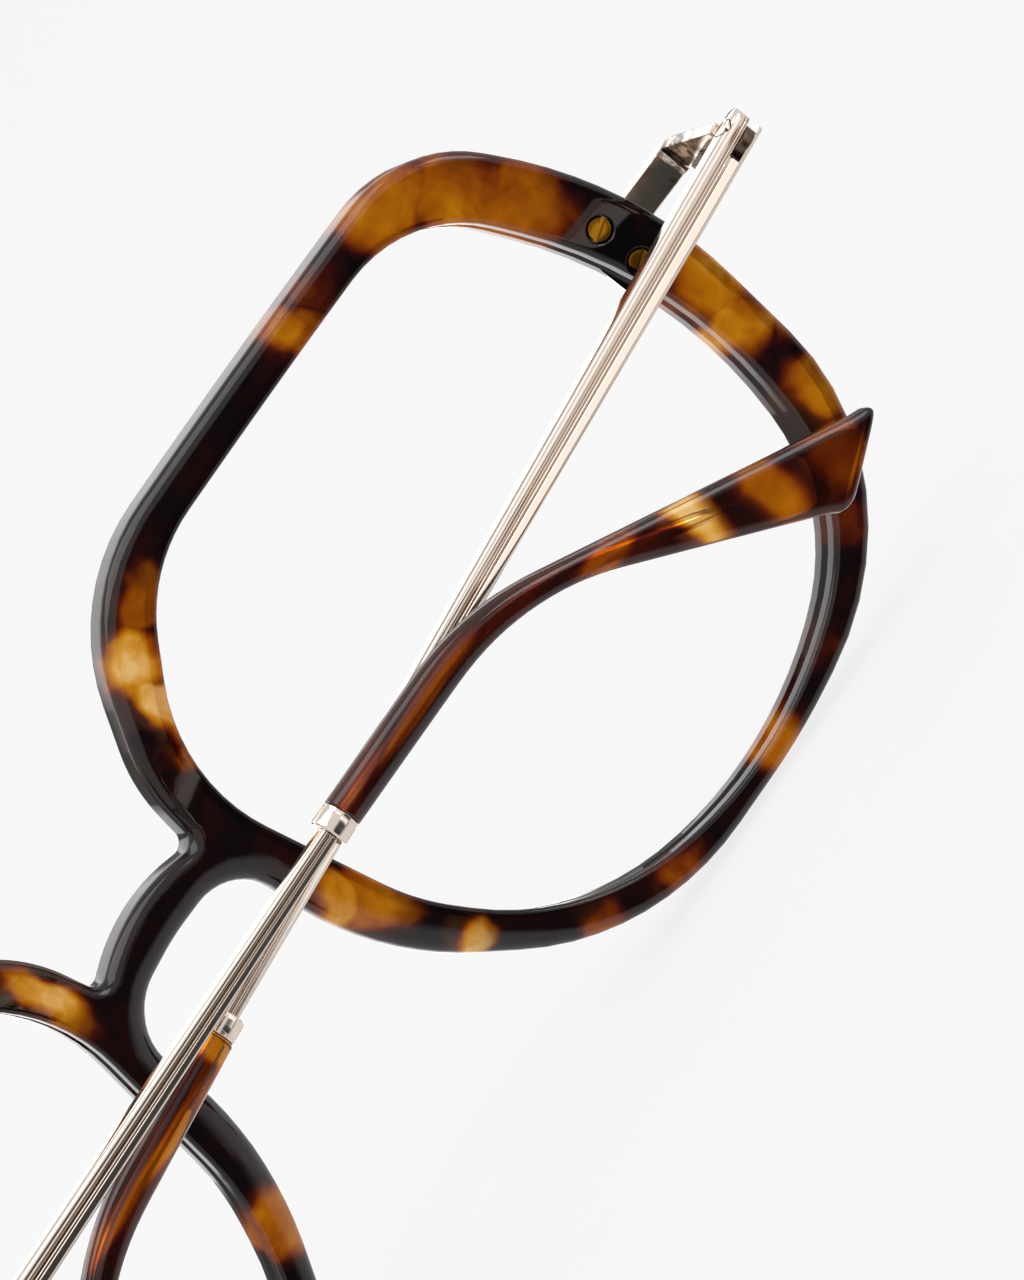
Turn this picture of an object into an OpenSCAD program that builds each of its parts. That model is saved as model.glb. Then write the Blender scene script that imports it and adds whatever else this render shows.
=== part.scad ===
// Folding eyeglasses frame: an acetate front with metal temples and acetate ear tips.
// Worn position: +Z up, the front faces -Y, the wearer looks along -Y, +X is the wearer's left.
// The zero is at the middle of the nose bridge, on its front face.
// Both temples are drawn folded behind the front, the left one lying over the right one.

/* [Front] */
// Width over the acetate front
front_w = 141.4; // [120:0.5:160]
// Height of the acetate front
front_h = 58; // [46:0.5:70]
// Thickness of the acetate front
front_t = 4; // [3.4:0.1:5]
// Radius of the upright cylinder the front is bent round
wrap_r = 240; // [190:5:340]
// Depth of the lens groove
groove_d = 0.7; // [0.4:0.05:1]
// Width of the lens groove
groove_w = 1.2; // [0.8:0.1:1.8]

/* [Endpiece] */
// Height of the metal endpiece strap
strap_h = 3; // [2.4:0.1:4]
// Thickness of the metal endpiece strap
strap_t = 1.2; // [0.9:0.05:1.6]
// Distance from the front face back to the hinge axis, at the endpiece
hinge_back = 15; // [12:0.5:20]
// Height of the hinge above the middle of the bridge
hinge_z = 0.2; // [-3:0.1:5]
// Head diameter of the rim screws
rim_head_d = 2.1; // [1.6:0.1:2.6]
// Distance between the two rim screws
rim_screw_gap = 4.4; // [3.6:0.1:6]

/* [Hinge] */
// Diameter of the hinge screw shank
hinge_pin_d = 1.1; // [0.9:0.05:1.4]
// Thickness of the knuckle that turns in the fork
knuckle_t = 0.84; // [0.6:0.02:1.2]
// Play between the knuckle and each prong of the fork
knuckle_play = 0.06; // [0.04:0.01:0.12]

/* [Temples] */
// Length from the hinge axis to the rear face of the ferrule
bar_l = 85.2; // [70:0.5:100]
// Height of the bar at the hinge
bar_h = 2.9; // [2.4:0.1:4]
// Height of the bar at the ferrule
bar_end_h = 1.6; // [1.3:0.1:2.4]
// Outside diameter of the ferrule
ferrule_d = 3.2; // [2.8:0.1:4]
// Length of the ferrule
ferrule_l = 1.9; // [1.2:0.1:3]
// Length of the ear tip behind the ferrule
tip_l = 53.6; // [44:0.5:65]
// Thickness of the ear tip
tip_t = 3.1; // [2.8:0.1:4]
// Droop of the folded right temple towards its end, degrees
right_drop = 1.9; // [0:0.1:4]
// Droop of the folded left temple towards its end, degrees
left_drop = 0.4; // [0:0.1:3]
// Angle the folded right temple stands off the front, degrees
right_lay = 0.6; // [0:0.1:3]
// Angle the folded left temple stands off the front, degrees
left_lay = 3.4; // [2.8:0.1:6]

/* [Hidden] */
$fn = 64;
acetate = [0.30, 0.14, 0.05];
metal = [0.84, 0.78, 0.72];
brass = [0.80, 0.62, 0.25];
// shares of the drawn width and height
kx = front_w / 141.4;
kz = front_h / 58;
kt = tip_l / 53.6;
// where the endpiece crosses the acetate
seat_x = 67.5 * kx;
seat_a = asin(seat_x / wrap_r);
seat_y = wrap_r * (1 - cos(seat_a));
// hinge axis
hinge_x = 75.6 * kx;
hinge_y = seat_y + hinge_back;
// the metal bar, fork and knuckle
bar_t = 2;
butt = 2;
slot_l = 3.9;
slot_h = knuckle_t + 2 * knuckle_play;
slot_z = -bar_h / 2 + 0.5 + slot_h / 2;
swing_gap = 0.35;
plate_t = 1.2;
pin_play = 0.05;
leaf_seat = 0.0005 + (knuckle_t / 2 - slot_z) * sin(max(right_drop, left_drop));
wire_r = 0.6;
shank_r = 0.75;
bar_flat = bar_l - ferrule_l;

// ---- outlines from corner points, each one [x, z, radius] ----

function unit(v) = v / norm(v);
function corner(a, b, c, r, n) =
    let (
        u = unit(a - b),
        w = unit(c - b),
        half = acos(u * w) / 2,
        o = b + unit(u + w) * r / sin(half),
        s = b + u * r / tan(half) - o,
        e = b + w * r / tan(half) - o,
        t = atan2(s[1], s[0]),
        d = atan2(e[1], e[0]) - t,
        turn = d > 180 ? d - 360 : d < -180 ? d + 360 : d
    )
    [for (k = [0:n]) o + r * [cos(t + turn * k / n), sin(t + turn * k / n)]];
function flat(q) = [q[0], q[1]];
function beside(p, i, k) = flat(p[(i + k + len(p)) % len(p)]);
function tangent(p, i) =
    let (b = flat(p[i]))
    p[i][2] / tan(acos(unit(beside(p, i, -1) - b) * unit(beside(p, i, 1) - b)) / 2);
// share of its radius that a corner keeps, so that two fillets never meet on a side
function kept(p, t, i) =
    let (b = flat(p[i]), m = len(p))
    min(
        1,
        0.99 * norm(beside(p, i, -1) - b) / (t[(i + m - 1) % m] + t[i]),
        0.99 * norm(beside(p, i, 1) - b) / (t[i] + t[(i + 1) % m])
    );
function rounded(p, n) =
    let (t = [for (i = [0:len(p) - 1]) tangent(p, i)])
    [for (i = [0:len(p) - 1])
        each corner(beside(p, i, -1), flat(p[i]), beside(p, i, 1), p[i][2] * kept(p, t, i), n)];
function sized(p) = [for (q = p) [q[0] * kx, q[1] * kz, q[2] * min(kx, kz)]];

// rim of one side, from the bridge notch over the brow and round to the nose
half_rim = [
    [7.2, 0.3, 1.1],
    [8.3, 6.6, 14.5],
    [17.6, 20.1, 17.8],
    [62.7, 20.1, 10.9],
    [71.5, 2.6, 41],
    [68.1, -34.1, 23.5],
    [44.3, -38, 50],
    [23.5, -37.9, 24.5],
    [8.5, -18.1, 28],
    [8.3, -3.2, 5.3]
];
bridge_top = [[0, 2.9, 17]];
nose_top = [[0, -2.6, 20]];
lens_edge = [
    [22.8, 16.5, 14.3],
    [58.7, 16.5, 11.2],
    [68, -5.9, 44],
    [62.1, -29.7, 18.8],
    [42.8, -37.4, 33],
    [21.4, -32.2, 24.3],
    [14.1, -17.8, 21.8],
    [10.3, 4.4, 15.6]
];
lens_mid = [39.2 * kx, -9.3 * kz];

function backwards(p) = [for (i = [len(p) - 1:-1:0]) [-p[i][0], p[i][1], p[i][2]]];
function front_outline() =
    rounded(sized(concat(bridge_top, half_rim, nose_top, backwards(half_rim))), 7);

// ---- acetate front ----

module upright(depth) {
    rotate([90, 0, 0])
        translate([0, 0, -depth])
            linear_extrude(height = depth + 4)
                children();
}

module wrap_shell(near, far) {
    translate([0, wrap_r, -60])
        difference() {
            cylinder(h = 120, r = wrap_r - near, $fn = 180);
            translate([0, 0, -1])
                cylinder(h = 122, r = wrap_r - far, $fn = 180);
        }
}

module lens_opening(depth, grow) {
    k = grow / (26 * min(kx, kz));
    for (s = [-1, 1])
        scale([s, 1, 1])
            upright(depth)
                translate(lens_mid)
                    scale(1 + k)
                        translate(-lens_mid)
                            polygon(rounded(sized(lens_edge), 7));
}

module at_seat(s) {
    mirror([s < 0 ? 1 : 0, 0, 0])
        translate([seat_x, seat_y, hinge_z])
            rotate([0, 0, seat_a])
                children();
}

module seat_pocket() {
    translate([-2.4, -2, -3.9])
        cube([5, plate_t + 2, 7.8]);
    translate([0, -2, -strap_h / 2 - 0.05])
        cube([9, strap_t + 2, strap_h + 0.1]);
    for (e = [-1, 1])
        translate([0, 0, e * rim_screw_gap / 2])
            rotate([-90, 0, 0]) {
                cylinder(h = 9, r = 0.7);
                translate([0, 0, front_t - 0.75])
                    cylinder(h = 4, r = rim_head_d / 2 + 0.12);
            }
}

// bevel where the bridge and the nose sides rest on the nose, cut on the wearer's side only
module nose_bevel() {
    for (s = [-1, 1])
        scale([s, 1, 1])
            translate([8.4 * kx, front_t + 0.2, -17 * kz])
                rotate([0, 0, -38])
                    translate([-6, -0.9, -13 * kz])
                        cube([6, 6, 19 * kz]);
}

module front() {
    color(acetate)
        difference() {
            intersection() {
                upright(40)
                    polygon(front_outline());
                wrap_shell(0, front_t);
            }
            lens_opening(60, 0);
            intersection() {
                lens_opening(40, groove_d);
                wrap_shell(front_t / 2 - groove_w / 2, front_t / 2 + groove_w / 2);
            }
            nose_bevel();
            for (s = [-1, 1])
                at_seat(s)
                    seat_pocket();
        }
}

// ---- metal endpiece: inlaid plate, neck, bend and strap back to the hinge ----

strap_out = hinge_x + bar_t / 2;
strap_end = hinge_y - butt - swing_gap;
neck_y = seat_y + (strap_out - seat_x) * tan(seat_a);
function along(d, q) = [seat_x + d * cos(seat_a) - q * sin(seat_a), seat_y + d * sin(seat_a) + q * cos(seat_a)];
function strap_plan() = rounded([
    [along(1, 0)[0], along(1, 0)[1], 0.05],
    [strap_out, neck_y, 2.2],
    [strap_out, strap_end, 0.15],
    [strap_out - strap_t, strap_end, 0.15],
    [strap_out - strap_t, neck_y + strap_t * (1 - sin(seat_a)) / cos(seat_a), 1],
    [along(1, strap_t)[0], along(1, strap_t)[1], 0.05]
], 6);

module endpiece(s) {
    color(metal)
        difference() {
            union() {
                mirror([s < 0 ? 1 : 0, 0, 0])
                    translate([0, 0, hinge_z - strap_h / 2])
                        linear_extrude(height = strap_h)
                            polygon(strap_plan());
                at_seat(s)
                    translate([-2.3, 0, -3.8])
                        cube([4.8, plate_t, 7.6]);
            }
            at_seat(s)
                for (e = [-1, 1])
                    translate([0, -1, e * rim_screw_gap / 2])
                        rotate([-90, 0, 0])
                            cylinder(h = 3, r = 0.57);
        }
}

// brass rim screws, put in from the wearer's side
module rim_screws(s) {
    color(brass)
        at_seat(s)
            for (e = [-1, 1])
                translate([0, 0, e * rim_screw_gap / 2])
                    rotate([-90, 0, 0])
                        difference() {
                            union() {
                                translate([0, 0, 0.2])
                                    cylinder(h = front_t - 0.9, r = 0.55);
                                translate([0, 0, front_t - 0.75])
                                    cylinder(h = 0.6, r = rim_head_d / 2);
                            }
                            rotate([0, 0, 20 * e])
                                translate([-2, -0.19, front_t - 0.4])
                                    cube([4, 0.38, 1]);
                        }
}

// ---- hinge; everything here turns about the hinge axis, X runs from the temple end to the nose ----

module at_hinge(s, lay) {
    drop = s < 0 ? right_drop : left_drop;
    mirror([s < 0 ? 1 : 0, 0, 0])
        translate([hinge_x, hinge_y, hinge_z])
            rotate([0, -drop, 0])
                rotate([0, 0, 180 - lay])
                    scale([1, -1, 1])
                        children();
}

// leaf brazed to the inner face of the strap, ending in the knuckle
module hinge_leaf(s) {
    reach = hinge_back * 0.3;
    color(metal)
        at_hinge(s, 0)
            difference() {
                translate([0, 0, slot_z - knuckle_t / 2])
                    union() {
                        cylinder(h = knuckle_t, r = 1.35);
                        translate([-bar_t / 2 + strap_t + leaf_seat, -butt - swing_gap - reach, 0])
                            cube([1.4, butt + swing_gap + reach, knuckle_t]);
                        translate([-0.95, -butt - swing_gap + 0.15, 0])
                            cube([2, butt + swing_gap - 0.15, knuckle_t]);
                    }
                translate([0, 0, -5])
                    cylinder(h = 10, r = hinge_pin_d / 2 + pin_play);
            }
}

module hinge_screw(s) {
    lay = s < 0 ? right_lay : left_lay;
    color(brass)
        at_hinge(s, lay)
            difference() {
                union() {
                    translate([0, 0, -bar_h / 2 + 0.05])
                        cylinder(h = bar_h - 0.4, r = hinge_pin_d / 2);
                    translate([0, 0, bar_h / 2 - 0.4])
                        cylinder(h = 0.45, r = 0.85);
                }
                translate([-2, -0.14, bar_h / 2 - 0.12])
                    cube([4, 0.28, 1]);
            }
}

// ---- temples ----

module rib(z0, r0, z1, r1, y0, y1) {
    a = [-butt, y0, z0];
    b = [bar_flat, y1, z1];
    v = b - a;
    translate(a)
        rotate([0, acos(v[2] / norm(v)), atan2(v[1], v[0])])
            cylinder(h = norm(v), r1 = r0, r2 = r1, $fn = 32);
}

function bar_side() = [
    [-butt, -bar_h / 2],
    [8, -bar_h / 2],
    [bar_flat, -bar_end_h / 2],
    [bar_flat, bar_end_h / 2],
    [8, bar_h / 2],
    [-butt, bar_h / 2]
];
function bar_plan() = rounded([
    [-butt, -bar_t / 2, 0.8],
    [-butt, bar_t / 2, 0.8],
    [8, bar_t / 2, 9],
    [bar_flat, bar_t / 2 - 0.2, 0.1],
    [bar_flat, -bar_t / 2 + 0.3, 0.1],
    [8, -bar_t / 2, 9]
], 5);
tip_wire_s = bar_l + 11.3 * kt;
tip_bend_r = 24 * kt;

knee_turn = 11;
knee_t = tip_bend_r * tan(knee_turn / 2);
function knee(i) = i == 0
    ? [tip_wire_s + knee_t, 0]
    : knee(i - 1) + 2 * knee_t * [cos(knee_turn * i), -sin(knee_turn * i)];

module rod(a, turn, len, r) {
    translate([a[0], 0, a[1]])
        rotate([0, 90 + turn, 0])
            cylinder(h = len, r = r, $fn = 32);
}

// core wire of the tip, bent in three short steps, with a drawn point
module core(grow) {
    r = wire_r + grow;
    last = 20 * kt + knee_t;
    rod([bar_flat - 0.5, 0], 0, knee(0)[0] - bar_flat + 0.5, r);
    for (i = [0:2])
        translate([knee(i)[0], 0, knee(i)[1]])
            sphere(r = r + 0.12, $fn = 32);
    for (i = [1:2])
        rod(knee(i - 1), knee_turn * i, 2 * knee_t, r);
    rod(knee(2), 3 * knee_turn, last, r);
    translate([knee(2)[0], 0, knee(2)[1]])
        rotate([0, 90 + 3 * knee_turn, 0])
            translate([0, 0, last])
                cylinder(h = 2.4, r1 = r, r2 = 0.15 + grow, $fn = 32);
}

module temple_bar(s) {
    lay = s < 0 ? right_lay : left_lay;
    k = bar_h / 2.9;
    e = bar_end_h / 1.6;
    color(metal)
        at_hinge(s, lay) {
            difference() {
                intersection() {
                    union() {
                        translate([0, bar_t * 0.2, 0])
                            rotate([90, 0, 0])
                                linear_extrude(height = bar_t)
                                    polygon(bar_side());
                        rib(0.86 * k, 0.58 * k, 0.36 * e, 0.42 * e, 0.4, 0.3);
                        rib(-0.02 * k, 0.24 * k, -0.02 * e, 0.16 * e, 0.42, 0.38);
                        rib(-0.78 * k, 0.56 * k, -0.42 * e, 0.34 * e, 0.26, 0.26);
                    }
                    translate([0, 0, -5])
                        linear_extrude(height = 10)
                            polygon(bar_plan());
                }
                translate([-butt - 1, -3, slot_z - slot_h / 2])
                    cube([slot_l + 1, 6, slot_h]);
                translate([0, 0, -4])
                    cylinder(h = 8, r = hinge_pin_d / 2 + 0.02);
                translate([0, 0, bar_h / 2 - 0.4])
                    cylinder(h = 3, r = 0.95);
            }
            translate([bar_flat - 0.5, 0, 0])
                rotate([0, 90, 0])
                    cylinder(h = ferrule_l + 2.5, r = shank_r, $fn = 32);
            core(0);
        }
}

module ferrule(s) {
    lay = s < 0 ? right_lay : left_lay;
    r = ferrule_d / 2;
    color(metal)
        at_hinge(s, lay)
            translate([bar_flat, 0, 0])
                rotate([0, 90, 0])
                    rotate_extrude()
                        polygon([
                            [shank_r + 0.02, 0],
                            [r - 0.14, 0],
                            [r, 0.14],
                            [r, ferrule_l - 0.3],
                            [r - 0.1, ferrule_l - 0.2],
                            [r - 0.1, ferrule_l],
                            [shank_r + 0.02, ferrule_l]
                        ]);
}

function tip_side() = [for (q = rounded([
    [0, 1.6, 0.25],
    [18.7, 1.15, 26],
    [52.9, -18.2, 0.8],
    [44.6, -21.2, 1.6],
    [22.5, -2.2, 24],
    [0, -1.6, 0.25]
], 8)) [bar_l + q[0] * kt, q[1] * (q[0] > 8 ? kt : 1)]];
function tip_plan() = rounded([
    [bar_l, -tip_t / 2, 0.3],
    [bar_l, tip_t / 2, 0.3],
    [bar_l + 24 * kt, tip_t / 2, 30],
    [bar_l + 56 * kt, tip_t / 2 - 0.35, 0.9],
    [bar_l + 56 * kt, -tip_t / 2 + 0.35, 0.9],
    [bar_l + 24 * kt, -tip_t / 2, 30]
], 5);

module temple_tip(s) {
    lay = s < 0 ? right_lay : left_lay;
    color(acetate)
        at_hinge(s, lay)
            difference() {
                intersection() {
                    translate([0, 5, 0])
                        rotate([90, 0, 0])
                            linear_extrude(height = 10)
                                polygon(tip_side());
                    translate([0, 0, -40])
                        linear_extrude(height = 60)
                            polygon(tip_plan());
                }
                translate([bar_l - 1, 0, 0])
                    rotate([0, 90, 0])
                        cylinder(h = 3.2, r = shank_r + 0.03, $fn = 32);
                core(0.05);
            }
}

front();
endpiece(-1);  // right_endpiece
endpiece(1);  // left_endpiece
hinge_leaf(-1);  // right_hinge_leaf
hinge_leaf(1);  // left_hinge_leaf
rim_screws(-1);  // right_rim_screws
rim_screws(1);  // left_rim_screws
temple_bar(-1);  // right_temple_bar
temple_bar(1);  // left_temple_bar
hinge_screw(-1);  // right_hinge_screw
hinge_screw(1);  // left_hinge_screw
ferrule(-1);  // right_ferrule
ferrule(1);  // left_ferrule
temple_tip(-1);  // right_temple_tip
temple_tip(1);  // left_temple_tip
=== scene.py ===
"""Looks for a folding eyeglasses frame: tortoiseshell acetate front and ear tips, champagne plated metal temples."""

import math

import bmesh
import bpy
from mathutils import Matrix, Vector


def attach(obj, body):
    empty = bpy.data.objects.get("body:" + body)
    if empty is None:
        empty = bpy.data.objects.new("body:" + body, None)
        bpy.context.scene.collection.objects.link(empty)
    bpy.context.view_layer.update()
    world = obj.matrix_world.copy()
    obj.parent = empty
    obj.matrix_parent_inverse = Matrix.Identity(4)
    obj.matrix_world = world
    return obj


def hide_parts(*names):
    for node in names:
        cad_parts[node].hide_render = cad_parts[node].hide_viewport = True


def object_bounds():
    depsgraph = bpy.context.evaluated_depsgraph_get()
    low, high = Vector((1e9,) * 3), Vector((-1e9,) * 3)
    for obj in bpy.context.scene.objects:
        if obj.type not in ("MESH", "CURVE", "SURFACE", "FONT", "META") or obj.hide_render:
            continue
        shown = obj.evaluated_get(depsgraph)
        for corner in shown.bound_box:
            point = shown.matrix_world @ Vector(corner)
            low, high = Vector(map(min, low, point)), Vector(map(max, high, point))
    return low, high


MM = 0.001

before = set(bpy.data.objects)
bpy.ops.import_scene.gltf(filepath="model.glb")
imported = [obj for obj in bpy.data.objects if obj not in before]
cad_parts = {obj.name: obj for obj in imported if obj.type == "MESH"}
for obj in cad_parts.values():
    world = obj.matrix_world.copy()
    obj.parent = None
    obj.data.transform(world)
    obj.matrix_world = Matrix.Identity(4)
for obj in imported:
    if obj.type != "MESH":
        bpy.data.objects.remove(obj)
cad_low, cad_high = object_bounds()

# ---- sizes that the looks share with the solids, in millimetres ----

WRAP_R = 240.0
FRONT_T = 4.0
FRONT_ROUND = 0.8
BACK_ROUND_IN = 1.15
BACK_ROUND_DEEP = 1.3
NOSE_BEVEL_IN = 2.3
NOSE_BEVEL_DEEP = 1.3
GROOVE_D = 0.7
GROOVE_W = 1.2
GROOVE_FLAT = 0.24
OPENING_ROUND = 0.35
OPENING_BACK_ROUND = 0.5
SEAT_X = 67.5
SEAT_A = math.asin(SEAT_X / WRAP_R)
SEAT_Z = 0.2
SEAT_CORNERS = [(-2.4, -3.9), (2.6, -3.9), (2.6, 3.9), (-2.4, 3.9)]
PLATE_T = 1.2
SCREW_GAP = 4.4
SCREW_HEAD_R = 1.05
HINGE = Vector((75.6, 24.688, 0.2))
BAR_L = 85.2
BAR_T = 2.0
BAR_BUTT = 2.0
SWING_GAP = 0.35
TIP_T = 3.1
SIDES = {
    "right": {"sign": -1, "drop": 1.9, "lay": 0.6},
    "left": {"sign": 1, "drop": 0.4, "lay": 3.4},
}

HALF_RIM = [
    (7.2, 0.3, 1.1), (8.3, 6.6, 14.5), (17.6, 20.1, 17.8), (62.7, 20.1, 10.9), (71.5, 2.6, 41),
    (68.1, -34.1, 23.5), (44.3, -38, 50), (23.5, -37.9, 24.5), (8.5, -18.1, 28), (8.3, -3.2, 5.3),
]
BRIDGE_TOP = [(0, 2.9, 17)]
NOSE_TOP = [(0, -2.6, 20)]
LENS_EDGE = [
    (22.8, 16.5, 14.3), (58.7, 16.5, 11.2), (68, -5.9, 44), (62.1, -29.7, 18.8),
    (42.8, -37.4, 33), (21.4, -32.2, 24.3), (14.1, -17.8, 21.8), (10.3, 4.4, 15.6),
]


# ---- outlines ----

def arc(a, b, c, r, steps):
    """Points of the round corner of radius r at b, between the sides towards a and c."""
    u = (a - b).normalized()
    w = (c - b).normalized()
    half = u.angle(w) / 2
    centre = b + (u + w).normalized() * r / math.sin(half)
    start = b + u * r / math.tan(half) - centre
    end = b + w * r / math.tan(half) - centre
    turn = start.angle_signed(end)
    return [centre + Matrix.Rotation(-turn * k / steps, 2) @ start for k in range(steps + 1)]


def distinct(path):
    return [p for i, p in enumerate(path) if (p - path[i - 1]).length > 1e-3]


def rounded(corners, steps):
    pts = [Vector(c[:2]) for c in corners]
    n = len(pts)
    out = []
    for i, corner in enumerate(corners):
        out += arc(pts[i - 1], pts[i], pts[(i + 1) % n], corner[2], steps)
    return distinct(out)


def mirrored(corners):
    return [(-x, z, r) for x, z, r in reversed(corners)]


def outward(path):
    """The unit normal at each point of a closed path, out of what it encloses."""
    n = len(path)
    sign = 1 if sum(path[i - 1].cross(path[i]) for i in range(n)) > 0 else -1
    out = []
    for i in range(n):
        along = ((path[(i + 1) % n] - path[i]).normalized() + (path[i] - path[i - 1]).normalized()).normalized()
        out.append(Vector((along.y, -along.x)) * sign)
    return out


def evenly(path, count):
    """The same open path as count points at equal steps."""
    lengths = [0.0]
    for a, b in zip(path, path[1:]):
        lengths.append(lengths[-1] + (b - a).length)
    out = []
    for k in range(count):
        goal = lengths[-1] * k / (count - 1)
        i = max(j for j in range(len(path) - 1) if lengths[j] <= goal + 1e-9)
        share = (goal - lengths[i]) / max(1e-9, lengths[i + 1] - lengths[i])
        out.append(path[i].lerp(path[i + 1], min(1.0, share)))
    return out


# ---- mesh making ----

def carry(bm, count, rings):
    """Draws a closed ring of points and extrudes it through the others. Each ring gives the place of a point
    from its number. Returns the edges of the first and the last ring."""
    mark = bm.verts.layers.int.get("place") or bm.verts.layers.int.new("place")
    verts = [bm.verts.new(rings[0](i)) for i in range(count)]
    for i, v in enumerate(verts):
        v[mark] = i
    first = [bm.edges.new((verts[i - 1], verts[i])) for i in range(count)]
    edges = first
    for ring in rings[1:]:
        grown = bmesh.ops.extrude_edge_only(bm, edges=edges)["geom"]
        verts = [g for g in grown if isinstance(g, bmesh.types.BMVert)]
        for v in verts:
            v.co = ring(v[mark])
        new = set(verts)
        edges = [g for g in grown if isinstance(g, bmesh.types.BMEdge) and set(g.verts) <= new]
    return first, edges


def quarter(r_in, r_deep, steps):
    """Inset and depth of a rounded edge, from the face it starts in to the wall it ends in."""
    return [
        (r_in * (1 - math.sin(t)), r_deep * (1 - math.cos(t)))
        for t in (math.pi / 2 * k / steps for k in range(steps + 1))
    ]


def slice_along(bm, axis, places):
    """Cuts across one axis at each place, so that the mesh can bend there."""
    normal = Vector((0, 0, 0))
    normal[axis] = 1
    for place in places:
        geom = bm.verts[:] + bm.edges[:] + bm.faces[:]
        bmesh.ops.bisect_plane(bm, geom=geom, dist=1e-5, plane_co=normal * place, plane_no=normal)


def finished(bm, name, body, material, replaced, crease=32):
    """Turns a bmesh in millimetres into a piece of the object, smooth except where it turns by more than crease."""
    bmesh.ops.scale(bm, vec=(MM, MM, MM), verts=bm.verts)
    for f in bm.faces:
        f.smooth = True
    for e in bm.edges:
        e.smooth = not e.is_manifold or e.calc_face_angle() < math.radians(crease)
    mesh = bpy.data.meshes.new(name)
    bm.to_mesh(mesh)
    bm.free()
    mesh.materials.append(material)
    piece = bpy.data.objects.new(name, mesh)
    bpy.context.scene.collection.objects.link(piece)
    normals = piece.modifiers.new("even normals", "WEIGHTED_NORMAL")
    normals.weight = 50
    normals.keep_sharp = True
    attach(piece, body)
    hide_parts(*replaced)
    return piece


# ---- materials ----

def colour(hex_code):
    """sRGB hex to the linear colour that nodes use."""
    parts = [int(hex_code[i:i + 2], 16) / 255 for i in (0, 2, 4)]
    return [c / 12.92 if c <= 0.04045 else ((c + 0.055) / 1.055) ** 2.4 for c in parts] + [1.0]


def node(tree, kind, settings=None, inputs=None):
    """Adds a node; inputs are values or the sockets that feed them."""
    n = tree.nodes.new(kind)
    for key, value in (settings or {}).items():
        setattr(n, key, value)
    for key, value in (inputs or {}).items():
        if isinstance(value, bpy.types.NodeSocket):
            tree.links.new(value, n.inputs[key])
        else:
            n.inputs[key].default_value = value
    return n


def new_material(name):
    mat = bpy.data.materials.new(name)
    mat.use_nodes = True
    tree = mat.node_tree
    tree.nodes.clear()
    shader = node(tree, "ShaderNodeBsdfPrincipled")
    out = node(tree, "ShaderNodeOutputMaterial")
    tree.links.new(shader.outputs[0], out.inputs[0])
    return mat, tree, shader


def ramp(tree, value, stops):
    n = node(tree, "ShaderNodeValToRGB", {}, {0: value})
    band = n.color_ramp
    while len(band.elements) < len(stops):
        band.elements.new(0.5)
    for element, (place, hue) in zip(band.elements, stops):
        element.position = place
        element.color = colour(hue)
    return n.outputs[0]


TORTOISE = [
    (0.0, "0D0608"), (0.2, "2A0908"), (0.34, "521805"), (0.46, "803604"),
    (0.62, "AA5C02"), (0.78, "CC8408"), (0.9, "E4A43C"), (1.0, "F6CE86"),
]


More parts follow.
